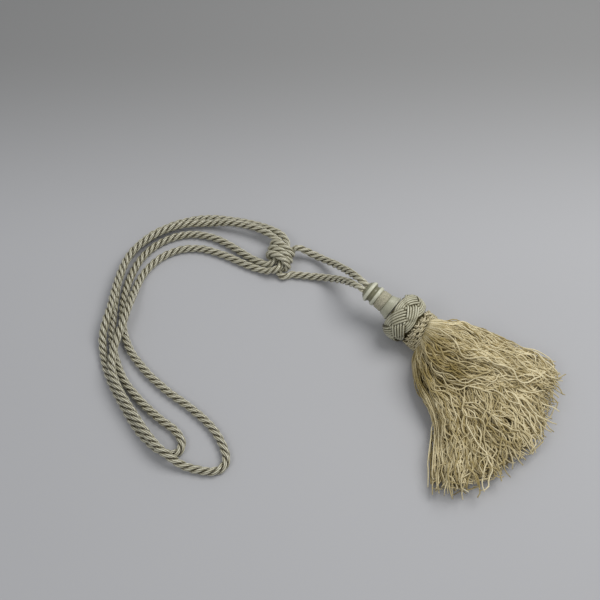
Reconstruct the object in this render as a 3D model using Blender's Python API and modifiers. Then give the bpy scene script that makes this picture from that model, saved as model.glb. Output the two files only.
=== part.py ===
"""Curtain tieback tassel: a twisted cord ring, a wrapped knot and one large head tassel.

Units are metres; the tables of places and sizes are in millimetres and are scaled by MM.
The tieback lies on a surface at z = 0. Two frames are used:
  lay frame    x and y on the surface, with its zero under the middle of the braided knob;
  head frame   +X along the head's axis towards the skirt, +Y across it, +Z up; its cap end
               is tilted up, as the head rests on its knob and ruff.
"""
import math
import random

import bmesh
import bpy
from mathutils import Matrix, Vector

MM = 0.001
GAP = 0.3                     # clearance between touching pieces, mm

# Driving dimensions, mm
CORD_DIAMETER = 8.0
CORD_LAY = 24.0               # length of one full turn of the three strands
CORD_STEP = 4.0               # spacing of the cord's cross-sections
CURVE_PARTS = 16              # straight parts between two points of a route
CORD_VALLEY = 0.80            # depth between two strands, as a share of the radius
KNOT_SQUEEZE = 0.86           # how far the knot presses the cord thinner
KNOT_SQUEEZE_ALONG = 19.0     # the squeeze is full this far along and across the knot
KNOT_SQUEEZE_ACROSS = 14.0
KNOT_SQUEEZE_FADE = 12.0      # and has gone this far outside it
CAP_SQUEEZE = 0.80            # how far the cap's mouth presses the two cord ends thinner
CAP_SQUEEZE_REACH = 8.0
CAP_SQUEEZE_FADE = 14.0

HEAD_AZIMUTH = -36.0          # degrees, direction of the head's axis on the surface
HEAD_TILT = 15.0              # degrees that the cap end is raised
HEAD_AXIS_HEIGHT = 22.9
KNOB_RADIUS = 24.2
KNOB_MIDDLE = -2.3
KNOB_LENGTH = 25.8
KNOB_END_RADIUS = 13.0
KNOB_END_SHARE = 0.12         # share of the knob's rows on each flat end
KNOB_FULLNESS = 0.62
KNOB_ROWS = 20
KNOB_SEGMENTS = 60
BRAID_RELIEF = 1.3
BRAID_BLOCKS = 6              # braid blocks round the knob
BRAID_ROWS = 3                # braid blocks from end to end
BRAID_SEAM_DEPTH = 0.55
RUFF_LENGTH = 8.8
RUFF_RADIUS = 18.6
RUFF_LOOPS = 18
RUFF_LOOP_RELIEF = 0.9
RUFF_ROUNDING = 2.6
RUFF_END_SHARE = 0.2
RUFF_ROWS = 8
RUFF_SEGMENTS = 54

# Where the lay frame's zero lies in the part's frame, mm
LAY_ORIGIN = Vector((-50.86, 73.645, 0.0))

# The knot: middle, direction of its axis and the lie of the cords in it
KNOT_MIDDLE = Vector((-123.5, 91.5, 11.75))
KNOT_AZIMUTH = -104.0
CORE_OFFSET = 3.65            # each core cord from the knot's axis, mm
WRAP_HALF_WIDTH = 11.8
WRAP_HALF_HEIGHT = 8.15
WRAP_PITCH = 7.55
WRAP_START = -4.0             # degrees round the knot, from its east side up
WRAP_END = -1138.0
WRAP_SHIFT = 2.4              # middle of the wraps past the knot's middle
WRAP_TILT = 3.0               # how far the wraps lean, east side forward
WRAP_POINTS_PER_TURN = 12

# Routes through the free stretches, lay frame, (x, y, z) in mm
SMALL_LOOP_NEAR_LEG = [
    (-126.2, 107.4, 11.5), (-131.3, 112.0, 11.6), (-137.0, 116.5, 11.8), (-146.4, 122.2, 12.0),
    (-157.3, 126.9, 12.0), (-168.1, 130.0, 11.6), (-179.0, 132.4, 10.9), (-190.0, 134.4, 8.6),
    (-201.0, 135.2, 6.6), (-211.7, 134.6, 7.2), (-222.2, 132.7, 9.0), (-242.9, 124.8, 11.6),
    (-262.8, 111.1, 12.4), (-281.5, 88.0, 12.4), (-287.8, 68.4, 12.4), (-292.0, 42.4, 12.4),
    (-294.4, 18.2, 12.2), (-296.6, 6.6, 11.6), (-298.2, -4.7, 9.6), (-298.4, -14.8, 6.6),
    (-297.0, -24.5, 4.3), (-290.6, -46.9, 4.05), (-280.2, -68.9, 4.05), (-273.8, -79.7, 4.05),
    (-260.9, -100.9, 4.05), (-253.8, -111.2, 4.05), (-245.9, -120.2, 4.05), (-237.9, -127.7, 4.05),
    (-229.1, -133.4, 4.05), (-221.2, -135.7, 4.05),
]
SMALL_LOOP_FAR_LEG = [
    (-215.4, -134.2, 4.05), (-212.2, -128.8, 4.05), (-212.9, -121.9, 4.05), (-219.4, -112.0, 4.05),
    (-233.4, -100.9, 4.05), (-255.6, -79.7, 4.05), (-272.7, -58.0, 4.05), (-283.0, -35.6, 4.05),
    (-289.4, -12.5, 4.05), (-291.8, 11.3, 4.05), (-292.4, 35.8, 4.05), (-291.3, 61.1, 4.05),
    (-283.4, 93.2, 4.05), (-265.7, 118.4, 4.05), (-244.8, 132.6, 4.05), (-223.3, 141.0, 4.05),
    (-201.8, 144.2, 4.05), (-179.7, 141.4, 4.6), (-157.8, 135.9, 5.6), (-146.8, 131.2, 7.0),
    (-135.9, 125.0, 9.2), (-126.2, 118.2, 11.0), (-119.6, 110.4, 11.4),
]
BIG_LOOP_NEAR_LEG = [
    (-124.9, 72.4, 11.8), (-128.4, 69.9, 11.3), (-133.4, 69.8, 8.7), (-138.5, 71.0, 6.3),
    (-143.6, 73.2, 5.1), (-156.0, 78.8, 4.2), (-166.7, 84.6, 4.05), (-188.4, 95.6, 4.05),
    (-210.0, 102.4, 4.05), (-231.1, 100.8, 4.05), (-251.3, 89.2, 4.05), (-268.4, 63.8, 4.5),
    (-272.3, 46.7, 6.8),
    (-274.6, 31.8, 10.2), (-276.7, 17.9, 12.5), (-280.8, -6.3, 12.8), (-284.9, -29.4, 12.6),
    (-283.6, -51.8, 12.5), (-274.3, -73.6, 12.5), (-260.7, -94.8, 12.5), (-246.4, -115.4, 12.5),
    (-238.8, -125.5, 12.5), (-230.0, -134.6, 12.4), (-222.7, -140.2, 11.2), (-216.0, -144.2, 8.2),
    (-209.6, -147.2, 5.6), (-202.6, -149.4, 4.3), (-193.8, -151.4, 4.05), (-184.7, -152.7, 4.05),
]
BIG_LOOP_FAR_LEG = [
    (-177.0, -151.2, 4.05), (-171.9, -146.6, 4.05), (-170.7, -140.0, 4.05), (-172.8, -131.4, 4.05),
    (-183.6, -111.2, 4.05), (-204.2, -90.4, 4.05), (-231.7, -68.9, 4.05), (-254.1, -46.9, 4.05),
    (-270.6, -24.1, 4.05), (-279.6, -0.7, 4.05), (-282.7, 23.4, 4.05), (-282.3, 48.3, 4.05),
    (-277.6, 72.0, 4.05), (-271.0, 88.5, 4.05), (-262.9, 100.4, 4.05), (-243.0, 115.8, 4.05),
    (-222.0, 121.8, 4.05), (-200.3, 118.6, 4.05), (-178.3, 106.8, 4.1), (-167.2, 98.2, 4.3),
    (-156.3, 89.6, 5.0), (-150.0, 85.0, 5.9), (-143.8, 81.2, 7.2), (-139.4, 78.4, 8.3),
    (-135.4, 77.4, 9.9), (-131.9, 79.0, 11.2),
]
HANGER_UPPER_LEG = [
    (-47.8, 44.0, 33.6), (-53.3, 52.8, 28.5), (-59.8, 63.1, 21.5), (-67.5, 73.6, 14.6),
    (-76.5, 82.7, 9.4), (-84.8, 88.9, 7.4), (-93.2, 92.9, 9.0), (-100.5, 94.9, 12.4),
    (-106.6, 95.6, 14.2),
]
HANGER_LOWER_LEG = [
    (-124.6, 74.0, 3.8), (-125.9, 70.4, 3.9), (-123.8, 66.9, 4.0), (-118.8, 65.6, 4.05),
    (-114.1, 67.9, 4.05), (-105.8, 67.5, 4.05), (-96.0, 66.3, 4.1), (-86.1, 64.4, 5.0),
    (-76.8, 61.2, 7.8), (-68.8, 56.3, 12.6), (-61.1, 49.7, 19.4), (-54.5, 41.7, 26.6),
    (-49.1, 33.8, 33.0),
]
CORD_END_OFFSET = 3.56        # each cord end from the axis, where it meets the cap

# Profiles of the turned head pieces: (position along the axis, radius), mm
CAP_FRONT = -48.9
CAP_PROFILE = [
    (CAP_FRONT, 6.9), (-47.6, 8.2), (-45.8, 10.0), (-44.4, 10.9), (-43.0, 11.0), (-42.1, 10.2),
    (-41.3, 9.0), (-39.2, 8.7), (-38.2, 9.6), (-37.2, 10.4), (-35.4, 10.5), (-34.0, 9.9),
]
BARREL_PROFILE = [(-33.7, 9.0), (-32.6, 9.4), (-28.0, 9.7), (-25.8, 10.0), (-24.9, 9.7)]
COLLAR_PROFILE = [(-24.6, 9.8), (-23.8, 10.5), (-21.0, 11.1), (-18.4, 12.0), (-16.6, 13.1), (-15.5, 12.8)]
TURNED_STEPS = 28

# The skirt: rows of locks on the end of a narrow band
SKIRT_BACK = 20.0
SKIRT_BAND = 3.0
SKIRT_BAND_RADIUS = 17.0
SKIRT_COLUMNS = 15
SKIRT_LAYERS = 8
SKIRT_STEPS = 5
SKIRT_SEED = 7
SKIRT_CENTRE = Vector((16.6, -16.3))     # the skirt fans out from here, lay frame
SKIRT_FAN_MIDDLE = -52.5      # degrees, direction of the middle locks
SKIRT_FAN_HALF = 37.0
SKIRT_FAN_CHANCE = 1.0
SKIRT_LEAVE_MIDDLE = -54.0    # degrees at which the middle locks leave the band
SKIRT_LEAVE_HALF = 50.0
SKIRT_REACH_LEFT = 168.0
SKIRT_REACH_RIGHT = 134.0
SKIRT_LOW_REACH = 0.88        # reach of the lowest locks, as a share of the highest
SKIRT_SHORTEST = 0.95
SKIRT_LONGEST = 1.03
ROOT_PULL = 42.0              # how far a lock keeps the direction it leaves in
TIP_PULL = 62.0               # how far before its tip it has taken up its last direction
LAYER_PITCH = 1.8             # height from layer to layer at the tips
LAYER_SWELL = 4.0             # added to it near the roots
SETTLED_SHARE = 0.34          # share of a lock's length on which it comes down
LOCK_ROOT_INSET = 0.14
LOCK_FILL = 0.40              # half a lock's width, as a share of the room it has
LOCK_WIDEST = 3.4             # half widths
LOCK_TIP_WIDTH = 0.45         # width left at the tip
LOCK_ROOT_THICKNESS = 1.15    # half thicknesses
LOCK_TIP_THICKNESS = 0.63
LOCK_CORNERS = ((-1, -1), (1, -1), (1, 1), (-1, 1))

COLOURS = {
    "cord": (0.62, 0.58, 0.46, 1.0),
    "satin": (0.78, 0.76, 0.66, 1.0),
    "ribbed": (0.55, 0.54, 0.47, 1.0),
    "braid": (0.66, 0.63, 0.53, 1.0),
    "yarn": (0.80, 0.70, 0.46, 1.0),
}


def clear_scene():
    for item in list(bpy.data.objects):
        bpy.data.objects.remove(item, do_unlink=True)


def fabric(name, roughness):
    material = bpy.data.materials.new(name)
    material.use_nodes = True
    shader = material.node_tree.nodes["Principled BSDF"]
    shader.inputs["Base Color"].default_value = COLOURS[name]
    shader.inputs["Roughness"].default_value = roughness
    shader.inputs["Metallic"].default_value = 0.0
    return material


def add_object(name, data, collection, parent=None, material=None):
    item = bpy.data.objects.new(name, data)
    collection.objects.link(item)
    item.parent = parent
    if material is not None:
        data.materials.append(material)
    return item


def smooth_route(points, step):
    """Points spaced evenly along one smooth curve through the given ones."""
    spans = [(after - before).length for before, after in zip(points, points[1:])]
    slopes = [(after - before) / span for before, after, span in zip(points, points[1:], spans)]
    tangents = [slopes[0]]
    for index in range(1, len(points) - 1):
        before, after = spans[index - 1], spans[index]
        tangents.append((slopes[index - 1] * after + slopes[index] * before) / (before + after))
    tangents.append(slopes[-1])
    dense = []
    for index, span in enumerate(spans):
        for part in range(CURVE_PARTS):
            t = part / CURVE_PARTS
            dense.append((2 * t ** 3 - 3 * t * t + 1) * points[index]
                         + (t ** 3 - 2 * t * t + t) * span * tangents[index]
                         + (3 * t * t - 2 * t ** 3) * points[index + 1]
                         + (t ** 3 - t * t) * span * tangents[index + 1])
    dense.append(points[-1])
    lengths = [0.0]
    for start, end in zip(dense, dense[1:]):
        lengths.append(lengths[-1] + (end - start).length)
    count = round(lengths[-1] / step)
    route = []
    segment = 0
    for index in range(count + 1):
        target = lengths[-1] * index / count
        while segment < len(dense) - 2 and lengths[segment + 1] < target:
            segment += 1
        span = lengths[segment + 1] - lengths[segment]
        share = min(1.0, (target - lengths[segment]) / span)
        route.append(dense[segment].lerp(dense[segment + 1], share))
    return route


def knot_directions():
    azimuth = math.radians(KNOT_AZIMUTH)
    along = Vector((math.cos(azimuth), math.sin(azimuth), 0.0))
    east = Vector((-math.sin(azimuth), math.cos(azimuth), 0.0))
    return along, east


def core_point(distance, side):
    """A point on one of the two core cords, at a distance along the knot's axis."""
    along, east = knot_directions()
    return KNOT_MIDDLE + distance * along + side * CORE_OFFSET * east


def wrap_points():
    """The cord wound round the two core cords, under them first."""
    along, east = knot_directions()
    turns = abs(WRAP_END - WRAP_START) / 360.0
    count = round(turns * WRAP_POINTS_PER_TURN)
    points = []
    for index in range(count + 1):
        share = index / count
        angle = math.radians(WRAP_START + share * (WRAP_END - WRAP_START))
        forward = (share - 0.5) * turns * WRAP_PITCH + WRAP_SHIFT + WRAP_TILT * math.cos(angle)
        points.append(KNOT_MIDDLE
                      + forward * along
                      + WRAP_HALF_WIDTH * math.cos(angle) * east
                      + Vector((0.0, 0.0, WRAP_HALF_HEIGHT * math.sin(angle))))
    return points


def head_to_lay(x, y, z):
    turn = Matrix.Rotation(math.radians(HEAD_AZIMUTH), 3, "Z")
    tilt = Matrix.Rotation(math.radians(HEAD_TILT), 3, "Y")
    return turn @ tilt @ Vector((x, y, z)) + Vector((0.0, 0.0, HEAD_AXIS_HEIGHT))


def main_route():
    """Ring of cord: from the middle of the knot round both end loops and back to it."""
    half = GAP / 2
    points = [core_point(-half, -1), core_point(-11.0, -1)]
    points += [Vector(p) for p in SMALL_LOOP_NEAR_LEG + SMALL_LOOP_FAR_LEG]
    points += [core_point(-12.0, 1), core_point(0.0, 1), core_point(12.0, 1), core_point(15.0, 1)]
    points += [Vector(p) for p in BIG_LOOP_NEAR_LEG + BIG_LOOP_FAR_LEG]
    points += [core_point(10.0, -1), core_point(half, -1)]
    return points


def hanger_route():
    """Cord from the cap to the knot, round it, and back to the cap."""
    start_x = CAP_FRONT - GAP
    points = [head_to_lay(start_x, CORD_END_OFFSET, 0.0), head_to_lay(start_x - 4.3, CORD_END_OFFSET, 0.0)]
    points += [Vector(p) for p in HANGER_UPPER_LEG]
    points += wrap_points()
    points += [Vector(p) for p in HANGER_LOWER_LEG]
    points += [head_to_lay(start_x - 4.3, -CORD_END_OFFSET, 0.0),
               head_to_lay(start_x, -CORD_END_OFFSET, 0.0)]
    return points


def strand_section(collection):
    """Cross-section of a cord of three strands: three round lobes."""
    curve = bpy.data.curves.new("strand_section", "CURVE")
    spline = curve.splines.new("POLY")
    spline.points.add(5)
    for index, point in enumerate(spline.points):
        radius = CORD_DIAMETER / 2 * (1.0 if index % 2 == 0 else CORD_VALLEY) * MM
        angle = -math.pi / 3 * index
        point.co = (radius * math.cos(angle), radius * math.sin(angle), 0.0, 1.0)
    spline.use_cyclic_u = True
    section = add_object("strand_section", curve, collection)
    section.hide_render = True
    section.display_type = "WIRE"
    return section


def knot_share(point):
    """1 inside the knot, falling to 0 a short way outside it."""
    along, east = knot_directions()
    offset = point - KNOT_MIDDLE
    outside = max(abs(offset.dot(along)) - KNOT_SQUEEZE_ALONG,
                  abs(offset.dot(east)) - KNOT_SQUEEZE_ACROSS, 0.0)
    return max(0.0, 1.0 - outside / KNOT_SQUEEZE_FADE)


def pressed(point):
    """How much thinner than full size the cord is, where the knot or the cap presses it."""
    from_cap = (point - head_to_lay(CAP_FRONT, 0.0, 0.0)).length
    cap_share = min(1.0, max(0.0, 1.0 - (from_cap - CAP_SQUEEZE_REACH) / CAP_SQUEEZE_FADE))
    return (1.0 - (1.0 - KNOT_SQUEEZE) * knot_share(point)) * (1.0 - (1.0 - CAP_SQUEEZE) * cap_share)


def twisted_cord(name, points, section, collection, parent, material):
    route = smooth_route(points, CORD_STEP)
    curve = bpy.data.curves.new(name, "CURVE")
    curve.dimensions = "3D"
    curve.bevel_mode = "OBJECT"
    curve.bevel_object = section
    curve.use_fill_caps = True
    curve.twist_mode = "MINIMUM"
    spline = curve.splines.new("POLY")
    spline.points.add(len(route) - 1)
    travelled = 0.0
    for index, (point, place) in enumerate(zip(spline.points, route)):
        if index:
            travelled += (place - route[index - 1]).length
        point.co = (*(place * MM), 1.0)
        point.tilt = -2 * math.pi * (travelled / CORD_LAY % 1.0)
        point.radius = pressed(place)
    item = add_object(name, curve, collection, parent, material)
    print(name, "centreline length, mm:", round(travelled, 1), "sections:", len(route))
    return item


def turned(name, profile, collection, parent, material):
    """A solid of revolution about the head's axis."""
    mesh = bpy.data.meshes.new(name)
    shape = bmesh.new()
    outline = [(profile[0][0], 0.0), *profile, (profile[-1][0], 0.0)]
    points = [shape.verts.new((x * MM, 0.0, radius * MM)) for x, radius in outline]
    for start, end in zip(points, points[1:]):
        shape.edges.new((start, end))
    shape.to_mesh(mesh)
    shape.free()
    item = add_object(name, mesh, collection, parent, material)
    screw = item.modifiers.new("turn", "SCREW")
    screw.axis = "X"
    screw.angle = 2 * math.pi
    screw.steps = TURNED_STEPS
    screw.render_steps = TURNED_STEPS
    screw.use_merge_vertices = True
    screw.merge_threshold = 0.00005
    screw.use_normal_calculate = True
    return item


def floor_height(x):
    """Height of the surface below the head's axis, in the tilted head frame."""
    tilt = math.radians(HEAD_TILT)
    return (x * math.sin(tilt) - HEAD_AXIS_HEIGHT) / math.cos(tilt)


def worked_ball(name, middle, rows, segments, surface, collection, parent, material):
    """A closed round form whose points are placed by surface(row share, turn)."""
    mesh = bpy.data.meshes.new(name)
    shape = bmesh.new()
    bmesh.ops.create_uvsphere(shape, u_segments=segments, v_segments=rows, radius=1.0)
    for point in shape.verts:
        share = math.acos(max(-1.0, min(1.0, -point.co.z))) / math.pi
        turn = math.atan2(point.co.y, point.co.x)
        x, radius = surface(share, turn)
        height = max(radius * math.sin(turn), floor_height(middle + x))
        point.co = Vector((middle + x, radius * math.cos(turn), height)) * MM
    shape.to_mesh(mesh)
    shape.free()
    return add_object(name, mesh, collection, parent, material)


def braid_height(along, turn):
    """Height of two crossing sets of bands, 0 in the seams to 1 on the crowns."""
    across = turn * BRAID_BLOCKS / (2 * math.pi)
    down = along * BRAID_ROWS / 2
    first = across + down
    second = across - down
    over = (math.floor(first) + math.floor(second)) % 2 == 0
    width = (first if over else second) % 1.0
    length = (second if over else first) % 1.0
    arch = BRAID_SEAM_DEPTH + (1 - BRAID_SEAM_DEPTH) * math.sin(math.pi * length)
    return math.sqrt(math.sin(math.pi * width)) * arch


def knob_surface(share, turn):
    """Barrel-shaped knob with flat ends and the braid's blocks raised on it."""
    from_end = min(share, 1 - share)
    if from_end < KNOB_END_SHARE:
        inward = from_end / KNOB_END_SHARE
        return math.copysign(KNOB_LENGTH / 2, share - 0.5), KNOB_END_RADIUS * inward
    along = (share - KNOB_END_SHARE) / (1 - 2 * KNOB_END_SHARE)
    bulge = math.sin(math.pi * along) ** KNOB_FULLNESS
    radius = KNOB_END_RADIUS + (KNOB_RADIUS - KNOB_END_RADIUS) * bulge
    radius += BRAID_RELIEF * (2 * braid_height(along, turn) - 1) * bulge
    return KNOB_LENGTH * (along - 0.5), radius


def ruff_surface(share, turn):
    """Ring of small bunched loops."""
    rim = RUFF_RADIUS - RUFF_ROUNDING
    from_end = min(share, 1 - share)
    if from_end < RUFF_END_SHARE:
        return math.copysign(RUFF_LENGTH / 2, share - 0.5), rim * from_end / RUFF_END_SHARE
    along = (share - RUFF_END_SHARE) / (1 - 2 * RUFF_END_SHARE)
    lump = RUFF_LOOP_RELIEF * math.cos(RUFF_LOOPS * turn + 2 * math.pi * along)
    return RUFF_LENGTH * (along - 0.5), rim + (RUFF_ROUNDING + lump) * math.sin(math.pi * along)


def disc_point(u, v):
    """A square's point moved onto the disc of the skirt's band."""
    return (SKIRT_BAND_RADIUS * u * math.sqrt(1 - v * v / 2),
            SKIRT_BAND_RADIUS * v * math.sqrt(1 - u * u / 2))


def lock_centre(u, layer, share, turn, length):
    """Lay-frame point on a lock, from its root (share 0) to its tip (share 1)."""
    height_share = (layer + 0.5) / SKIRT_LAYERS
    root = head_to_lay(SKIRT_BACK + SKIRT_BAND, *disc_point(u, 2 * height_share - 1))
    fan = math.radians(SKIRT_FAN_MIDDLE + SKIRT_FAN_HALF * u + turn)
    leave = math.radians(SKIRT_LEAVE_MIDDLE + SKIRT_LEAVE_HALF * u)
    reach = SKIRT_REACH_LEFT + (SKIRT_REACH_RIGHT - SKIRT_REACH_LEFT) * (u + 1) / 2
    reach *= (SKIRT_LOW_REACH + (1 - SKIRT_LOW_REACH) * height_share) * length
    last = Vector((math.cos(fan), math.sin(fan)))
    tip = SKIRT_CENTRE + reach * last
    first = root.xy + ROOT_PULL * Vector((math.cos(leave), math.sin(leave)))
    second = tip - TIP_PULL * last
    rest = 1 - share
    plan = (rest ** 3 * root.xy + 3 * rest ** 2 * share * first
            + 3 * rest * share ** 2 * second + share ** 3 * tip)
    pitch = LAYER_PITCH + LAYER_SWELL * rest
    settled = lock_thickness(share) + layer * pitch
    fall = min(1.0, share / SETTLED_SHARE)
    fall = fall * fall * (3 - 2 * fall)
    return Vector((plan.x, plan.y, root.z + (settled - root.z) * fall))


def lock_thickness(share):
    return LOCK_ROOT_THICKNESS + (LOCK_TIP_THICKNESS - LOCK_ROOT_THICKNESS) * share


def lock_rings(column, layer, chances):
    """The cross-sections of one lock, from just outside its root to its tip."""
    turn = chances.uniform(-SKIRT_FAN_CHANCE, SKIRT_FAN_CHANCE)
    length = chances.uniform(SKIRT_SHORTEST, SKIRT_LONGEST)
    rings = []
    for step in range(1, SKIRT_STEPS + 1):
        share = step / SKIRT_STEPS
        stagger = 0.5 * (layer % 2) * min(1.0, share / SETTLED_SHARE)
        place = 2 * (column + 0.25 + stagger) / SKIRT_COLUMNS - 1
        centre = lock_centre(place, layer, share, turn, length)
        behind = lock_centre(place, layer, share - 0.02, turn, length)
        beside = lock_centre(place + 2 / SKIRT_COLUMNS, layer, share, turn, length)
        forward = (centre - behind).normalized()
        side = Vector((-forward.y, forward.x, 0.0)).normalized()
        room = abs((beside - centre).dot(side))
        width = min(LOCK_WIDEST, LOCK_FILL * room) * (1 - (1 - LOCK_TIP_WIDTH) * share ** 4)
        up = Vector((0.0, 0.0, lock_thickness(share)))
        rings.append([(centre + across * width * side + height * up) * MM
                      for across, height in LOCK_CORNERS])
    return rings


def grow_lock(shape, rim, rings):
    """Close one opening of the root grid with a lock that passes through the rings."""
    for ring in rings:
        following = [shape.verts.new(place) for place in ring]
        for index, point in enumerate(rim):
            after = (index + 1) % len(rim)
            shape.faces.new((point, rim[after], following[after], following[index]))
        rim = following
    shape.faces.new(rim)


def skirt(collection, parent, material):
    """Locks of yarn, their roots fused into one narrow band."""
    chances = random.Random(SKIRT_SEED)
    shape = bmesh.new()
    grid = []
    for layer in range(SKIRT_LAYERS + 1):
        height = 2 * layer / SKIRT_LAYERS - 1
        row = []
        for column in range(SKIRT_COLUMNS + 1):
            place = disc_point(2 * column / SKIRT_COLUMNS - 1, height)
            row.append(shape.verts.new(head_to_lay(SKIRT_BACK + SKIRT_BAND, *place) * MM))
        grid.append(row)
    for layer in range(SKIRT_LAYERS):
        for column in range(SKIRT_COLUMNS):
            rim = [grid[layer][column], grid[layer][column + 1],
                   grid[layer + 1][column + 1], grid[layer + 1][column]]
            middle = sum((point.co for point in rim), Vector()) / len(rim)
            root = [point.co.lerp(middle, LOCK_ROOT_INSET) for point in rim]
            grow_lock(shape, rim, [root, *lock_rings(column, layer, chances)])
    edges = [edge for edge in shape.edges if edge.is_boundary]
    back = bmesh.ops.extrude_edge_only(shape, edges=edges)["geom"]
    band = (head_to_lay(SKIRT_BAND, 0.0, 0.0) - head_to_lay(0.0, 0.0, 0.0)) * MM
    for item in back:
        if isinstance(item, bmesh.types.BMVert):
            item.co -= band
    bmesh.ops.contextual_create(shape, geom=[item for item in back if isinstance(item, bmesh.types.BMEdge)])
    bmesh.ops.recalc_face_normals(shape, faces=shape.faces)
    mesh = bpy.data.meshes.new("skirt")
    shape.to_mesh(mesh)
    shape.free()
    return add_object("skirt", mesh, collection, parent, material)


def build():
    clear_scene()
    parts = bpy.data.collections.new("tieback_tassel")
    guides = bpy.data.collections.new("guides")
    bpy.context.scene.collection.children.link(parts)
    bpy.context.scene.collection.children.link(guides)

    lay = add_object("lay_frame", None, parts)
    lay.location = LAY_ORIGIN * MM
    head = add_object("head_frame", None, parts, lay)
    head.location = (0.0, 0.0, HEAD_AXIS_HEIGHT * MM)
    head.rotation_euler = (0.0, math.radians(HEAD_TILT), math.radians(HEAD_AZIMUTH))

    cord = fabric("cord", 0.6)
    satin = fabric("satin", 0.35)
    ribbed = fabric("ribbed", 0.7)
    braid = fabric("braid", 0.55)
    yarn = fabric("yarn", 0.8)

    section = strand_section(guides)
    twisted_cord("main_cord", main_route(), section, parts, lay, cord)
    twisted_cord("hanger_cord", hanger_route(), section, parts, lay, cord)
    turned("head_cap", CAP_PROFILE, parts, head, satin)
    turned("head_barrel", BARREL_PROFILE, parts, head, ribbed)
    turned("head_collar", COLLAR_PROFILE, parts, head, satin)
    worked_ball("head_knob", KNOB_MIDDLE, KNOB_ROWS, KNOB_SEGMENTS, knob_surface, parts, head, braid)
    ruff_middle = KNOB_MIDDLE + KNOB_LENGTH / 2 + GAP + RUFF_LENGTH / 2
    worked_ball("ruff", ruff_middle, RUFF_ROWS, RUFF_SEGMENTS, ruff_surface, parts, head, braid)
    skirt(parts, lay, yarn)


build()
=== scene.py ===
"""Looks of the curtain tieback tassel: laid rope, satin head, plaited knob and yarn skirt.

Lengths in the tables are in millimetres, in one of three frames:
- the lay frame, on the surface, with zero under the knob;
- the head frame, with +X along the tassel's axis, +Y across it and +Z up, tilted with the head;
- the picture, with places in pixels across and down and a height above the surface.
Everything built from them is in metres in the row's frame.
"""
import math

import bpy
import numpy as np
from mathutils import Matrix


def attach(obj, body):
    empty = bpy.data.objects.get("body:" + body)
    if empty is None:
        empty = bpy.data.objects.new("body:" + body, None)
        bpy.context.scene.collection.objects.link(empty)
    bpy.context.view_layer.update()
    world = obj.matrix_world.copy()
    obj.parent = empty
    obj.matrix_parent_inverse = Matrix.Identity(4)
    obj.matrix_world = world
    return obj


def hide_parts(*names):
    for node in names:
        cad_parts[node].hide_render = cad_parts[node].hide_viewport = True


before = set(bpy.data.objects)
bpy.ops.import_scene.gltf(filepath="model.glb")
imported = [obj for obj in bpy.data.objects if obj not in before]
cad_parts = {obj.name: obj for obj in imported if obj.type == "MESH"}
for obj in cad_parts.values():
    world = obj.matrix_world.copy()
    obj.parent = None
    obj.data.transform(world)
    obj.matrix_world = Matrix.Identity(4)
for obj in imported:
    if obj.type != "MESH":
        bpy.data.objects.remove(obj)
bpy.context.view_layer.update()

MM = 0.001
TURN = 2 * math.pi

# How the tassel lies
LAY_ORIGIN = np.array((-50.86, 73.645, 0.0))         # moves a lay place to the row's frame
HEAD_AZIMUTH = math.radians(-36.0)
HEAD_TILT = math.radians(15.0)
HEAD_AXIS_HEIGHT = 22.9
GAP = 0.3

# The camera, and the square picture that it takes
CAMERA_PLACE = np.array((-103.7, -490.7, 756.0))     # in the lay frame
CAMERA_PITCH = math.radians(35.0)
CAMERA_LENS = 54.0
CAMERA_SENSOR = 36.0
PICTURE_SIZE = 600
PICTURE_MIDDLE = PICTURE_SIZE / 2
PICTURE_FOCUS = PICTURE_SIZE * CAMERA_LENS / CAMERA_SENSOR

# Rope
CORD_LAY = 24.0                                      # length of one turn of the strands
STRANDS = 3
STRAND_RADIUS = 1.88
STRAND_OFFSET = 2.06
STRAND_YARNS = 6
STRAND_YARN_DEPTH = 0.11
STRAND_SPIN = 60.0                                   # radians per metre
STRAND_SIDES = 24
# Span of facing over which painted shade fills the gaps between the strands
STRAND_SHADE_SPAN = (0.0, 0.64)
ROPE_STEP = 1.9
ROPE_PATH_STRIDE = 3
ROUTE_SAMPLES = 16                                   # on each span of a smooth route

# Knot, and how the knot and the cap press the rope
KNOT_MIDDLE = np.array((-123.5, 91.5, 11.75))
KNOT_AZIMUTH = math.radians(-104.0)
KNOT_SQUEEZE = 0.86
KNOT_HALF_LENGTH = 19.0
KNOT_HALF_WIDTH = 14.0
KNOT_FADE = 12.0
KNOT_SHADE_LIFT = 0.30                                   # how far the painted shade between strands is lifted in the knot
CORE_OFFSET = 3.65
WRAP_HALF_WIDTH = 11.8
WRAP_HALF_HEIGHT = 8.15
WRAP_PITCH = 7.55
WRAP_START = -4.0
WRAP_END = -1138.0
WRAP_SHIFT = 2.4
WRAP_TILT = 3.0
WRAP_POINTS_PER_TURN = 12
CAP_FRONT = -48.9
CAP_SQUEEZE = 0.80
CAP_PRESS_REACH = 8.0
CAP_PRESS_FADE = 14.0
CORD_END_OFFSET = 3.56
CORD_END_LEAD = 4.3

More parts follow.
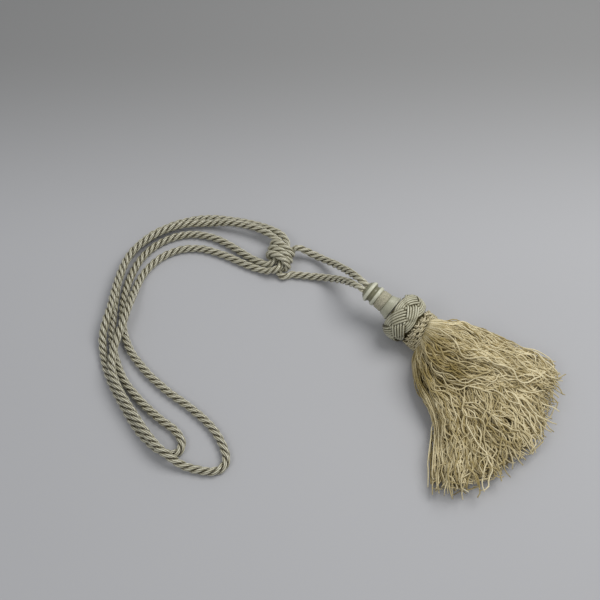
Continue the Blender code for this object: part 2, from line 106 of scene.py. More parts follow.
SMALL_LOOP_NEAR_LEG = [
    (-126.2, 107.4, 11.5), (-131.3, 112.0, 11.6), (-137.0, 116.5, 11.8), (-146.4, 122.2, 12.0),
    (-157.3, 126.9, 12.0), (-168.1, 130.0, 11.6), (-179.0, 132.4, 10.9), (-190.0, 134.4, 8.6),
    (-201.0, 135.2, 6.6), (-211.7, 134.6, 7.2), (-222.2, 132.7, 9.0), (-242.9, 124.8, 11.6),
    (-262.8, 111.1, 12.4), (-281.5, 88.0, 12.4), (-287.8, 68.4, 12.4), (-292.0, 42.4, 12.4),
    (-294.4, 18.2, 12.2), (-296.6, 6.6, 11.6), (-298.2, -4.7, 9.6), (-298.4, -14.8, 6.6),
    (-297.0, -24.5, 4.3), (-290.6, -46.9, 4.05), (-280.2, -68.9, 4.05), (-273.8, -79.7, 4.05),
    (-260.9, -100.9, 4.05), (-253.8, -111.2, 4.05), (-245.9, -120.2, 4.05), (-237.9, -127.7, 4.05),
    (-229.1, -133.4, 4.05), (-221.2, -135.7, 4.05),
]
SMALL_LOOP_FAR_LEG = [
    (-215.4, -134.2, 4.05), (-212.2, -128.8, 4.05), (-212.9, -121.9, 4.05), (-219.4, -112.0, 4.05),
    (-233.4, -100.9, 4.05), (-255.6, -79.7, 4.05), (-272.7, -58.0, 4.05), (-283.0, -35.6, 4.05),
    (-289.4, -12.5, 4.05), (-291.8, 11.3, 4.05), (-292.4, 35.8, 4.05), (-291.3, 61.1, 4.05),
    (-283.4, 93.2, 4.05), (-265.7, 118.4, 4.05), (-244.8, 132.6, 4.05), (-223.3, 141.0, 4.05),
    (-201.8, 144.2, 4.05), (-179.7, 141.4, 4.6), (-157.8, 135.9, 5.6), (-146.8, 131.2, 7.0),
    (-135.9, 125.0, 9.2), (-126.2, 118.2, 11.0), (-119.6, 110.4, 11.4),
]
BIG_LOOP_NEAR_LEG = [
    (-124.9, 72.4, 11.8), (-128.4, 69.9, 11.3), (-133.4, 69.8, 8.7), (-138.5, 71.0, 6.3),
    (-143.6, 73.2, 5.1), (-156.0, 78.8, 4.2), (-166.7, 84.6, 4.05), (-188.4, 95.6, 4.05),
    (-210.0, 102.4, 4.05), (-231.1, 100.8, 4.05), (-251.3, 89.2, 4.05), (-268.4, 63.8, 4.5),
    (-272.3, 46.7, 6.8),
    (-274.6, 31.8, 10.2), (-276.7, 17.9, 12.5), (-280.8, -6.3, 12.8), (-284.9, -29.4, 12.6),
    (-283.6, -51.8, 12.5), (-274.3, -73.6, 12.5), (-260.7, -94.8, 12.5), (-246.4, -115.4, 12.5),
    (-238.8, -125.5, 12.5), (-230.0, -134.6, 12.4), (-222.7, -140.2, 11.2), (-216.0, -144.2, 8.2),
    (-209.6, -147.2, 5.6), (-202.6, -149.4, 4.3), (-193.8, -151.4, 4.05), (-184.7, -152.7, 4.05),
]
BIG_LOOP_FAR_LEG = [
    (-177.0, -151.2, 4.05), (-171.9, -146.6, 4.05), (-170.7, -140.0, 4.05), (-172.8, -131.4, 4.05),
    (-183.6, -111.2, 4.05), (-204.2, -90.4, 4.05), (-231.7, -68.9, 4.05), (-254.1, -46.9, 4.05),
    (-270.6, -24.1, 4.05), (-279.6, -0.7, 4.05), (-282.7, 23.4, 4.05), (-282.3, 48.3, 4.05),
    (-277.6, 72.0, 4.05), (-271.0, 88.5, 4.05), (-262.9, 100.4, 4.05), (-243.0, 115.8, 4.05),
    (-222.0, 121.8, 4.05), (-200.3, 118.6, 4.05), (-178.3, 106.8, 4.1), (-167.2, 98.2, 4.3),
    (-156.3, 89.6, 5.0), (-150.0, 85.0, 5.9), (-143.8, 81.2, 7.2), (-139.4, 78.4, 8.3),
    (-135.4, 77.4, 9.9), (-131.9, 79.0, 11.2),
]
HANGER_UPPER_LEG = [
    (-47.8, 44.0, 33.6), (-53.3, 52.8, 28.5), (-59.8, 63.1, 21.5), (-67.5, 73.6, 14.6),
    (-76.5, 82.7, 9.4), (-84.8, 88.9, 7.4), (-93.2, 92.9, 9.0), (-100.5, 94.9, 12.4),
    (-106.6, 95.6, 14.2),
]
HANGER_LOWER_LEG = [
    (-124.6, 74.0, 3.8), (-125.9, 70.4, 3.9), (-123.8, 66.9, 4.0), (-118.8, 65.6, 4.05),
    (-114.1, 67.9, 4.05), (-105.8, 67.5, 4.05), (-96.0, 66.3, 4.1), (-86.1, 64.4, 5.0),
    (-76.8, 61.2, 7.8), (-68.8, 56.3, 12.6), (-61.1, 49.7, 19.4), (-54.5, 41.7, 26.6),
    (-49.1, 33.8, 33.0),
]


# ---------------------------------------------------------------- places and paths

def from_lay(points):
    return (np.asarray(points, dtype=float) + LAY_ORIGIN) * MM


def head_to_lay(points):
    points = np.asarray(points, dtype=float)
    x, y, z = points[..., 0], points[..., 1], points[..., 2]
    level = x * math.cos(HEAD_TILT) + z * math.sin(HEAD_TILT)
    height = z * math.cos(HEAD_TILT) - x * math.sin(HEAD_TILT) + HEAD_AXIS_HEIGHT
    cosine, sine = math.cos(HEAD_AZIMUTH), math.sin(HEAD_AZIMUTH)
    return np.stack((level * cosine - y * sine, level * sine + y * cosine, height), axis=-1)


def from_head(points):
    return from_lay(head_to_lay(points))


def floor_height(x):
    """Height of the surface below the head's axis, in the tilted head frame."""
    return (x * math.sin(HEAD_TILT) - HEAD_AXIS_HEIGHT) / math.cos(HEAD_TILT)


def above_floor(points, clearance):
    """Points in the head frame, lifted where they would be nearer the surface than this."""
    points[:, 2] = np.maximum(points[:, 2], floor_height(points[:, 0]) + clearance)
    return points


def from_picture(points):
    """Lay-frame places of (across, down, height) points in the camera's picture."""
    points = np.asarray(points, dtype=float)
    across = (points[..., 0] - PICTURE_MIDDLE) / PICTURE_FOCUS
    rise = (PICTURE_MIDDLE - points[..., 1]) / PICTURE_FOCUS
    cosine, sine = math.cos(CAMERA_PITCH), math.sin(CAMERA_PITCH)
    ray = np.stack((across, rise * cosine + sine, rise * sine - cosine), axis=-1)
    reach = (points[..., 2] - CAMERA_PLACE[2]) / ray[..., 2]
    return CAMERA_PLACE + ray * reach[..., None]


def smoothstep(t):
    t = np.clip(t, 0, 1)
    return t * t * (3 - 2 * t)


def unit(vectors):
    return vectors / np.maximum(np.linalg.norm(vectors, axis=-1, keepdims=True), 1e-12)


def travelled(points):
    """Distance from the first point, along lines of points (..., N, 3)."""
    spans = np.linalg.norm(np.diff(points, axis=-2), axis=-1)
    return np.concatenate((np.zeros_like(spans[..., :1]), np.cumsum(spans, axis=-1)), axis=-1)


def smooth_route(points, step):
    """Evenly spaced points along one smooth curve through the given ones."""
    points = np.asarray(points, dtype=float)
    spans = np.linalg.norm(np.diff(points, axis=0), axis=1)
    slopes = np.diff(points, axis=0) / spans[:, None]
    before, after = spans[:-1, None], spans[1:, None]
    inner = (slopes[:-1] * after + slopes[1:] * before) / (before + after)
    tangents = np.vstack((slopes[:1], inner, slopes[-1:]))
    t = np.linspace(0, 1, ROUTE_SAMPLES, endpoint=False)[None, :, None]
    span = spans[:, None, None]
    dense = ((2 * t ** 3 - 3 * t * t + 1) * points[:-1, None]
             + (t ** 3 - 2 * t * t + t) * span * tangents[:-1, None]
             + (3 * t * t - 2 * t ** 3) * points[1:, None]
             + (t ** 3 - t * t) * span * tangents[1:, None]).reshape(-1, 3)
    dense = np.vstack((dense, points[-1:]))
    lengths = travelled(dense)
    targets = np.linspace(0, lengths[-1], round(lengths[-1] / step) + 1)
    return np.stack([np.interp(targets, lengths, dense[:, axis]) for axis in range(3)], axis=1)


def resampled(points, count, step):
    """A number of evenly spaced points picked from a smooth route with the given step."""
    dense = smooth_route(points, step)
    return dense[np.linspace(0, len(dense) - 1, count).round().astype(int)]


def knot_directions():
    along = np.array((math.cos(KNOT_AZIMUTH), math.sin(KNOT_AZIMUTH), 0.0))
    east = np.array((-math.sin(KNOT_AZIMUTH), math.cos(KNOT_AZIMUTH), 0.0))
    return along, east


def core_point(distance, side):
    along, east = knot_directions()
    return KNOT_MIDDLE + distance * along + side * CORE_OFFSET * east


def wrap_points():
    """The hanger's turns round the two cords of the main rope."""
    along, east = knot_directions()
    turns = abs(WRAP_END - WRAP_START) / 360.0
    count = round(turns * WRAP_POINTS_PER_TURN)
    points = []
    for index in range(count + 1):
        share = index / count
        angle = math.radians(WRAP_START + share * (WRAP_END - WRAP_START))
        forward = (share - 0.5) * turns * WRAP_PITCH + WRAP_SHIFT + WRAP_TILT * math.cos(angle)
        points.append(KNOT_MIDDLE + forward * along
                      + WRAP_HALF_WIDTH * math.cos(angle) * east
                      + np.array((0.0, 0.0, WRAP_HALF_HEIGHT * math.sin(angle))))
    return points


def main_route():
    half = GAP / 2
    return [core_point(-half, -1), core_point(-11.0, -1),
            *SMALL_LOOP_NEAR_LEG, *SMALL_LOOP_FAR_LEG,
            core_point(-12.0, 1), core_point(0.0, 1), core_point(12.0, 1), core_point(15.0, 1),
            *BIG_LOOP_NEAR_LEG, *BIG_LOOP_FAR_LEG,
            core_point(10.0, -1), core_point(half, -1)]


def hanger_route():
    start = CAP_FRONT - GAP
    lead = start - CORD_END_LEAD
    ends = head_to_lay([(start, CORD_END_OFFSET, 0), (lead, CORD_END_OFFSET, 0),
                        (lead, -CORD_END_OFFSET, 0), (start, -CORD_END_OFFSET, 0)])
    return [ends[0], ends[1], *HANGER_UPPER_LEG, *wrap_points(), *HANGER_LOWER_LEG,
            ends[2], ends[3]]


def pressed(points):
    """How much thinner than full size the cord is, where the knot or the cap presses it."""
    along, east = knot_directions()
    offset = points - KNOT_MIDDLE
    outside = np.maximum(np.abs(offset @ along) - KNOT_HALF_LENGTH,
                         np.abs(offset @ east) - KNOT_HALF_WIDTH)
    knot_share = np.clip(1 - np.maximum(outside, 0) / KNOT_FADE, 0, 1)
    from_cap = np.linalg.norm(points - head_to_lay((CAP_FRONT, 0.0, 0.0)), axis=1)
    cap_share = np.clip(1 - (from_cap - CAP_PRESS_REACH) / CAP_PRESS_FADE, 0, 1)
    return (1 - (1 - KNOT_SQUEEZE) * knot_share) * (1 - (1 - CAP_SQUEEZE) * cap_share)


def carried_frames(paths):
    """Tangents and two side directions, carried along without twist; paths is (M, N, 3)."""
    tangents = unit(np.gradient(paths, axis=1))
    first = np.empty_like(paths)
    level = np.abs(tangents[:, :1, 2:3]) < 0.9
    reference = np.where(level, np.array((0, 0, 1.0)), np.array((1.0, 0, 0)))
    first[:, 0] = unit(np.cross(reference[:, 0], tangents[:, 0]))
    for index in range(1, paths.shape[1]):
        side = first[:, index - 1]
        along = tangents[:, index]
        first[:, index] = unit(side - along * np.sum(side * along, axis=1, keepdims=True))
    return tangents, first, np.cross(tangents, first)


# ---------------------------------------------------------------- meshes

# Painted shade on tubes: a point is darkened as it turns from facing outwards to facing inwards,
# over this span of its facing; the troughs between the yarns of a strand get this share of painted
# shade as well
OPEN_SHADE_SPAN = (-0.05, 0.65)
CREST_SHADE = 0.80


def add_attribute(mesh, name, values):
    """One number a vertex, which the materials read by this name."""
    item = mesh.attributes.new(name, "FLOAT", "POINT")
    item.data.foreach_set("value", values.reshape(-1).astype(np.float32))


def tube_uv(mesh, lengths, sides, cap_corners):
    """UV that runs round each tube and, in metres, along it; the end caps get none."""
    count, steps = lengths.shape
    u = np.broadcast_to(np.arange(sides) / sides, (count, steps - 1, sides))
    v = np.broadcast_to(lengths[:, :, None], (count, steps, sides))
    u_next = u + 1 / sides
    corners = np.stack((np.stack((u, v[:, :-1]), -1), np.stack((u_next, v[:, :-1]), -1),
                        np.stack((u_next, v[:, 1:]), -1), np.stack((u, v[:, 1:]), -1)), axis=3)
    layer = mesh.uv_layers.new(name="run")
    flat = np.concatenate((corners.reshape(-1), np.zeros(cap_corners * 2)))
    layer.data.foreach_set("uv", flat.astype(np.float32))


def tube_mesh(name, paths, radii, sides, spin=0.0, lobes=0, lobe_depth=0.0, tones=None,
              outward=None, shade_span=OPEN_SHADE_SPAN, closed=None):
    """Closed tubes along paths (M, N, 3) in metres with radii (M, N); UV runs round and along.

    With outward directions given, "depth" goes from 0 to 1 as a point turns to face that way;
    it is painted shade, which the materials use to darken points that face into the gaps
    between strands or cords and into the troughs between yarns, and closed (M, N) is how far
    that painted shade is lifted where the strands are pressed together. Tones are one value a
    tube, or one a ring (M, N).
    """
    count, steps = paths.shape[:2]
    _, first, second = carried_frames(paths)
    lengths = travelled(paths)
    around = np.arange(sides) * TURN / sides
    shape = 1 + lobe_depth * np.cos(lobes * around) if lobes else np.ones(sides)
    angle = around[None, None, :] + spin * lengths[:, :, None]
    facing = (np.cos(angle)[..., None] * first[:, :, None, :]
              + np.sin(angle)[..., None] * second[:, :, None, :])
    reach = radii[:, :, None] * shape[None, None, :]
    places = paths[:, :, None, :] + reach[..., None] * facing

    index = np.arange(count * steps * sides).reshape(count, steps, sides)
    turned = np.roll(index, -1, axis=2)
    quads = np.stack((index[:, :-1], turned[:, :-1], turned[:, 1:], index[:, 1:]), axis=-1)
    quads = quads.reshape(-1, 4)
    caps = np.concatenate((index[:, 0, ::-1], index[:, -1, :]), axis=0)
    loops = np.concatenate((quads.reshape(-1), caps.reshape(-1)))
    starts = np.concatenate((np.arange(len(quads)) * 4,
                             len(quads) * 4 + np.arange(len(caps)) * sides))
    mesh = bpy.data.meshes.new(name)
    mesh.vertices.add(count * steps * sides)
    mesh.vertices.foreach_set("co", places.reshape(-1))
    mesh.loops.add(len(loops))
    mesh.loops.foreach_set("vertex_index", loops.astype(np.int32))
    mesh.polygons.add(len(starts))
    mesh.polygons.foreach_set("loop_start", starts.astype(np.int32))
    tube_uv(mesh, lengths, sides, caps.size)

    if tones is not None:
        rings = tones if tones.ndim == 2 else np.repeat(tones[:, None], steps, axis=1)
        add_attribute(mesh, "tone", np.repeat(rings, sides, axis=1))
    # Painted shade: a low depth darkens points that face inwards, and the troughs between yarns
    if outward is not None:
        outwards = np.sum(facing * outward[:, :, None, :], axis=-1)
        depth = smoothstep((outwards - shade_span[0]) / (shade_span[1] - shade_span[0]))
        if lobes:
            trough = ((1 - np.cos(lobes * around)) / 2) ** 1.5
            depth = depth * (1 - CREST_SHADE * trough)[None, None, :]
        if closed is not None:
            depth = depth + closed[:, :, None] * (1 - depth)
        add_attribute(mesh, "depth", depth)
    mesh.validate()
    mesh.update(calc_edges=True)
    mesh.shade_smooth()
    return mesh


def ring_mesh(name, rows, tones=None):
    """A skin over rings of points (N, K, 3) in metres, closed at both ends; one tone a ring."""
    steps, sides = rows.shape[:2]
    index = np.arange(steps * sides).reshape(steps, sides)
    turned = np.roll(index, -1, axis=1)
    quads = np.stack((index[:-1], index[1:], turned[1:], turned[:-1]), axis=-1)
    faces = quads.reshape(-1, 4).tolist()
    faces += [index[0].tolist(), index[-1, ::-1].tolist()]
    mesh = bpy.data.meshes.new(name)
    mesh.from_pydata(rows.reshape(-1, 3).tolist(), [], faces)
    layer = mesh.uv_layers.new(name="run")
    for polygon in mesh.polygons:
        if len(polygon.vertices) > 4:
            continue
        for corner, vertex in zip(polygon.loop_indices, polygon.vertices):
            row, column = divmod(vertex, sides)
            if column == 0 and polygon.vertices[0] % sides == sides - 1:
                column = sides
            layer.data[corner].uv = (column / sides, row / (steps - 1))
    add_attribute(mesh, "tone", np.repeat(np.zeros(steps) if tones is None else tones, sides))
    mesh.update()
    mesh.shade_smooth()
    return mesh


def place(name, mesh, material, slot, *nodes):
    """Add a piece of the part, which stands for the given nodes of the CAD."""
    item = bpy.data.objects.new(name, mesh)
    bpy.context.scene.collection.objects.link(item)
    mesh.materials.append(material)
    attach(item, "root")
    if nodes:
        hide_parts(*nodes)
    return item


# ---------------------------------------------------------------- materials

SHEEN_ROUGHNESS = 0.35
RAMP_ENDS = (0.15, 0.85)
THREAD_SHARE = 0.35                                  # of the colour, against the patches
THREAD_WANDER = 0.35
WANDER_SCALE = 900.0


class Nodes:
    """A small helper that builds one material's node tree."""

    def __init__(self, name):
        self.material = bpy.data.materials.new(name)
        self.material.use_nodes = True
        self.tree = self.material.node_tree
        self.shader = self.tree.nodes["Principled BSDF"]

    def feed(self, target, value):
        """Link an output to an input, or set the input to a plain value."""
        if hasattr(value, "is_output"):
            self.tree.links.new(value, target)
        else:
            target.default_value = value

    def math(self, operation, first, second=0.0):
        item = self.tree.nodes.new("ShaderNodeMath")
        item.operation = operation
        self.feed(item.inputs[0], first)
        self.feed(item.inputs[1], second)
        return item.outputs[0]

    def scaled(self, value, factor):
        return self.math("MULTIPLY", value, factor)

    def mix(self, share, first, second):
        item = self.tree.nodes.new("ShaderNodeMix")
        item.data_type = "RGBA"
        self.feed(item.inputs["Factor"], share)
        self.feed(item.inputs[6], first)
        self.feed(item.inputs[7], second)
        return item.outputs[2]

    def ramp(self, share, dark, light):
        item = self.tree.nodes.new("ShaderNodeValToRGB")
        for element, position, colour in zip(item.color_ramp.elements, RAMP_ENDS, (dark, light)):
            element.position = position
            element.color = colour
        self.tree.links.new(share, item.inputs["Fac"])
        return item.outputs["Color"]

    def object_noise(self, scale, detail):
        """Noise that is fixed to the piece, in its own coordinates in metres."""
        where = self.tree.nodes.new("ShaderNodeTexCoord")
        item = self.tree.nodes.new("ShaderNodeTexNoise")
        item.inputs["Scale"].default_value = scale
        item.inputs["Detail"].default_value = detail
        self.tree.links.new(where.outputs["Object"], item.inputs["Vector"])
        return item.outputs["Fac"]

    def run(self):
        """The two UV numbers: round the piece and along it."""
        uv = self.tree.nodes.new("ShaderNodeUVMap")
        uv.uv_map = "run"
        parts = self.tree.nodes.new("ShaderNodeSeparateXYZ")
        self.tree.links.new(uv.outputs["UV"], parts.inputs[0])
        return parts.outputs[0], parts.outputs[1]

    def stripes(self, value):
        """0 to 1 and back once for every whole number of the value."""
        wave = self.math("SINE", self.scaled(value, TURN))
        return self.math("MULTIPLY_ADD", wave, 0.5)

    def bump(self, height, distance):
        item = self.tree.nodes.new("ShaderNodeBump")
        item.inputs["Distance"].default_value = distance
        item.inputs["Strength"].default_value = 1.0
        self.tree.links.new(height, item.inputs["Height"])
        self.tree.links.new(item.outputs["Normal"], self.shader.inputs["Normal"])

    def attribute(self, name):
        item = self.tree.nodes.new("ShaderNodeAttribute")
        item.attribute_name = name
        return item.outputs["Fac"]

    def finish(self, colour, roughness, sheen, sheen_tint, specular):
        inputs = self.shader.inputs
        self.feed(inputs["Base Color"], colour)
        inputs["Roughness"].default_value = roughness
        inputs["Metallic"].default_value = 0.0
        inputs["Sheen Weight"].default_value = sheen
        inputs["Sheen Roughness"].default_value = SHEEN_ROUGHNESS
        inputs["Sheen Tint"].default_value = sheen_tint
        inputs["Specular IOR Level"].default_value = specular
        return self.material


def thread_material(name, dark, light, threads, slant, depth, roughness, sheen, specular,
                    tone_share=0.0, painted_groove_shade=None, painted_half_shade=None, patch_scale=70.0):
    """Fine threads laid round and along a piece, from one colour to another.

    Threads is their number round the piece, slant their number per unit along its UV, and
    depth the height of their bump in metres. The tone attribute moves the colour, tone_share
    as far as it says; on the cap and the skirt it also carries painted shade and painted light.
    Where the depth attribute says that a point faces inwards, painted shade darkens it to a dark
    shade colour, with a half shade colour between.
    """
    dark, light = (*dark, 1), (*light, 1)
    nodes = Nodes(name)
    around, along = nodes.run()
    wander = nodes.object_noise(WANDER_SCALE, 2.0)
    lines = nodes.math("ADD", nodes.scaled(around, threads), nodes.scaled(along, slant))
    lines = nodes.math("ADD", lines, nodes.scaled(wander, THREAD_WANDER))
    ridge = nodes.stripes(lines)
    patch = nodes.object_noise(patch_scale, 4.0)
    share = nodes.math("ADD", nodes.scaled(ridge, THREAD_SHARE),
                       nodes.scaled(patch, 1.0 - THREAD_SHARE))
    if tone_share:
        share = nodes.math("ADD", share, nodes.scaled(nodes.attribute("tone"), tone_share))
    colour = nodes.ramp(share, dark, light)
    # Painted shade: points that face inwards are darkened through the half shade colour to the
    # dark shade colour
    if painted_groove_shade is not None:
        facing = nodes.attribute("depth")
        colour = nodes.mix(facing, (*painted_groove_shade, 1), nodes.mix(facing, (*painted_half_shade, 1), colour))
    nodes.bump(ridge, depth)
    return nodes.finish(colour, roughness, sheen, light, specular)


# The rope's last two colours are painted shade: a dark one in the gaps between the strands and a
# half shade between it and the lit crests
rope_material = thread_material(
    "laid_rope", (0.76, 0.73, 0.53), (1.0, 0.985, 0.82), threads=18, slant=420, depth=0.00010,
    roughness=0.22, sheen=0.02, specular=1.0,
    painted_groove_shade=(0.03, 0.022, 0.006), painted_half_shade=(0.43, 0.37, 0.18), patch_scale=160.0)
satin_material = thread_material(
    "satin_thread", (0.22, 0.215, 0.13), (0.75, 0.75, 0.59), threads=3.0, slant=26.0,
    depth=0.00012, roughness=0.28, sheen=0.06, specular=0.7, tone_share=1.3)
barrel_material = thread_material(
    "ribbed_thread", (0.14, 0.125, 0.07), (0.86, 0.82, 0.63), threads=60, slant=30.0,
    depth=0.0001, roughness=0.6, sheen=0.15, specular=0.35, patch_scale=900.0)
# The braid's last two colours are painted shade in the gaps between its cords, dark and half shade
braid_material = thread_material(
    "braid_cord", (0.41, 0.38, 0.24), (0.72, 0.71, 0.545), threads=3, slant=620, depth=0.00012,
    roughness=0.32, sheen=0.03, specular=0.7, tone_share=0.18,
    painted_groove_shade=(0.055, 0.044, 0.015), painted_half_shade=(0.40, 0.36, 0.20), patch_scale=300.0)
# The ruff's last two colours are painted shade on the sides of its loops that face inwards, dark
# and half shade
ruff_material = thread_material(
    "ruff_cord", (0.46, 0.40, 0.23), (0.88, 0.80, 0.575), threads=3, slant=700, depth=0.00012,
    roughness=0.45, sheen=0.06, specular=0.5, tone_share=0.3,
    painted_groove_shade=(0.11, 0.085, 0.028), painted_half_shade=(0.46, 0.385, 0.19), patch_scale=300.0)
yarn_material = thread_material(
    "skirt_yarn", (0.34, 0.256, 0.081), (0.935, 0.835, 0.555), threads=2, slant=900,
    depth=0.00010, roughness=0.5, sheen=0.10, specular=0.4, tone_share=0.5, patch_scale=110.0)
# The hidden lower layer of yarn: the skirt yarn as a darker copy in painted shade
under_material = thread_material(
    "shaded_yarn", (0.15, 0.105, 0.03), (0.50, 0.41, 0.20), threads=2, slant=900,
    depth=0.00010, roughness=0.6, sheen=0.05, specular=0.3, tone_share=0.5, patch_scale=110.0)
# The mould and core under the cords are real parts, coloured dark as painted shade for the gaps
# between the cords
core_shade_material = thread_material(
    "core_in_painted_shade", (0.09, 0.075, 0.03), (0.16, 0.135, 0.065), threads=3, slant=90,
    depth=0.0001, roughness=0.8, sheen=0.0, specular=0.1)


# ---------------------------------------------------------------- camera, light and surface

FLOOR_HALF = 2.5
FLOOR_PLACE = (-0.15, 0.0, -0.0002)
# Painted shade on the surface: it goes from the near colours to a darker one towards the back,
# where less light falls
FLOOR_NEAR = ((0.50, 0.504, 0.521, 1), (0.517, 0.521, 0.538, 1))
FLOOR_FAR_SHADE = (0.322, 0.322, 0.322, 1)
FLOOR_SHADE_FADE = (0.16, 0.52)                            # from near to far, metres along Y
WHITE = (1, 1, 1, 1)


def add_light(name, place_at, aim, size, power, colour):
    data = bpy.data.lights.new(name, "AREA")
    data.shape = "DISK"
    data.size = size
    data.energy = power
    data.color = colour
    item = bpy.data.objects.new(name, data)
    bpy.context.scene.collection.objects.link(item)
    forward = unit(np.array(aim) - np.array(place_at))
    item.location = place_at
    azimuth = math.atan2(forward[1], forward[0]) - math.pi / 2
    item.rotation_euler = (math.acos(-forward[2]), 0.0, azimuth)


def add_camera(scene):
    data = bpy.data.cameras.new("camera")
    data.sensor_width = CAMERA_SENSOR
    data.lens = CAMERA_LENS
    camera = bpy.data.objects.new("camera", data)
    scene.collection.objects.link(camera)
    camera.location = tuple(from_lay(CAMERA_PLACE))
    camera.rotation_euler = (CAMERA_PITCH, 0.0, 0.0)
    scene.camera = camera


def floor_material():
    """A pale surface, with painted shade that makes it darker towards the back."""
    nodes = Nodes("pale_surface")
    near = nodes.mix(nodes.object_noise(3.0, 2.0), *FLOOR_NEAR)
    where = nodes.tree.nodes.new("ShaderNodeTexCoord")
    parts = nodes.tree.nodes.new("ShaderNodeSeparateXYZ")
    nodes.tree.links.new(where.outputs["Object"], parts.inputs[0])
    reach = nodes.tree.nodes.new("ShaderNodeMapRange")
    reach.interpolation_type = "SMOOTHSTEP"
    nodes.feed(reach.inputs["Value"], parts.outputs[1])
    nodes.feed(reach.inputs["From Min"], FLOOR_SHADE_FADE[0])
    nodes.feed(reach.inputs["From Max"], FLOOR_SHADE_FADE[1])
    colour = nodes.mix(reach.outputs["Result"], near, FLOOR_FAR_SHADE)
    return nodes.finish(colour, 0.75, 0.0, WHITE, 0.25)


def set_stage():
    scene = bpy.context.scene
    add_camera(scene)

    floor_mesh = bpy.data.meshes.new("floor")
    half = FLOOR_HALF
    floor_mesh.from_pydata([(-half, -half, 0), (half, -half, 0), (half, half, 0),
                            (-half, half, 0)], [], [(0, 1, 2, 3)])
    floor = bpy.data.objects.new("floor", floor_mesh)
    scene.collection.objects.link(floor)
    floor.location = FLOOR_PLACE
    floor_mesh.materials.append(floor_material())

    world = bpy.data.worlds.new("room")
    scene.world = world
    world.use_nodes = True
    background = world.node_tree.nodes["Background"]
    background.inputs["Color"].default_value = (0.95, 0.97, 1.0, 1)
    background.inputs["Strength"].default_value = 0.355
    add_light("window_right", (0.52, 0.30, 1.20), (-0.05, -0.05, 0.0), 1.0, 10.6,
              (1.0, 0.99, 0.97))
    add_light("lamp_left", (-0.9, -0.6, 1.2), (-0.15, 0.0, 0.0), 0.6, 2.5, (1.0, 0.99, 0.98))
    scene.view_settings.view_transform = "Standard"
    scene.view_settings.look = "None"


# ---------------------------------------------------------------- rope

def rope(name, points, node):
    """Three laid strands along a route."""
    route = smooth_route(points, ROPE_STEP)
    _, first, second = (item[0] for item in carried_frames(route[None]))
    distance = travelled(route)
    squeeze = pressed(route)
    strands, outward = [], []
    for strand in range(STRANDS):
        angle = -TURN * distance / CORD_LAY + strand * TURN / STRANDS
        away = np.cos(angle)[:, None] * first + np.sin(angle)[:, None] * second
        strands.append(route + (STRAND_OFFSET * squeeze)[:, None] * away)
        outward.append(away)
    radii = np.tile(STRAND_RADIUS * squeeze * MM, (STRANDS, 1))
    # Less painted shade between the strands where the knot presses them together
    closed = np.tile(KNOT_SHADE_LIFT * (1 - squeeze) / (1 - KNOT_SQUEEZE), (STRANDS, 1))
    mesh = tube_mesh(name, from_lay(strands), radii, STRAND_SIDES, STRAND_SPIN, STRAND_YARNS,
                     STRAND_YARN_DEPTH, outward=np.asarray(outward), shade_span=STRAND_SHADE_SPAN,
                     closed=closed)
    item = place(name, mesh, rope_material, "cord", node)
    middle = route[::ROPE_PATH_STRIDE]
    if (len(route) - 1) % ROPE_PATH_STRIDE:
        middle = np.vstack((middle, route[-1:]))


# ---------------------------------------------------------------- head

CAP_PROFILE = [
    (-48.9, 2.0), (-48.9, 6.4), (-48.6, 7.2), (-47.6, 8.2), (-45.8, 10.0), (-44.4, 10.9),
    (-43.0, 11.0), (-42.1, 10.2), (-41.3, 9.0), (-39.2, 8.7), (-38.2, 9.6), (-37.2, 10.4),
    (-35.4, 10.5), (-34.2, 10.0), (-34.0, 8.0), (-34.0, 4.0),
]
BARREL_PROFILE = [
    (-33.7, 4.0), (-33.65, 8.6), (-32.6, 9.3), (-28.0, 9.6), (-25.8, 9.9), (-25.0, 9.5),
    (-24.9, 4.0),
]
COLLAR_PROFILE = [
    (-24.6, 4.0), (-24.55, 9.0), (-24.3, 10.1), (-23.8, 10.5), (-21.0, 11.1), (-18.4, 12.0),
    (-16.6, 13.1), (-15.7, 12.8), (-15.5, 11.5), (-15.5, 6.0),
]
PROFILE_STEP = 0.1

# Tone along the head's axis. On the cap it is painted light: painted shade on its mouth, which
# faces away from the light, and in the hollow behind its front rim, and a painted highlight on
# its two rims. The collar is darker where it meets the barrel and a little lighter at its end
# by the knob.
CAP_SHADE_AND_HIGHLIGHT = [
    (-48.9, -0.30), (-46.6, -0.25), (-45.6, 0.30), (-43.0, 0.30), (-42.3, -0.45),
    (-38.0, -0.40), (-37.2, 0.25), (-34.0, 0.10),
]
COLLAR_TONE = [(-24.6, -0.45), (-24.0, -0.12), (-22.5, -0.04), (-17.5, 0.0), (-15.5, 0.12)]

WEAVE_RIBS = 30
WEAVE_SLANT = 2.4
WEAVE_DEPTH = 0.42
SATIN_DEPTH = 0.05


def rings_round_axis(position, radius, sides):
    """Rings of points in the head frame at positions (N,), with radii (N, 1) or (N, sides)."""
    turn = np.arange(sides) * TURN / sides
    along = np.repeat(position[:, None], sides, axis=1)
    return np.stack((along, radius * np.cos(turn), radius * np.sin(turn)), axis=-1)


def lathe(name, profile, rows, sides, material, slot, node, relief, tone=None):
    """A turned form on a smooth profile through the given (position, radius) pairs."""
    profile = np.asarray(profile, dtype=float)
    pick = resampled(np.column_stack((profile, np.zeros(len(profile)))), rows, PROFILE_STEP)
    share = np.linspace(0, 1, rows)[:, None]
    turn = np.arange(sides)[None, :] * TURN / sides
    radius = pick[:, 1:2] + relief(share, turn, pick[:, 0:1])
    points = rings_round_axis(pick[:, 0], radius, sides)
    tones = None
    if tone is not None:
        places, values = zip(*tone)
        tones = np.interp(pick[:, 0], places, values)
    place(name, ring_mesh(name, from_head(points), tones), material, slot, node)


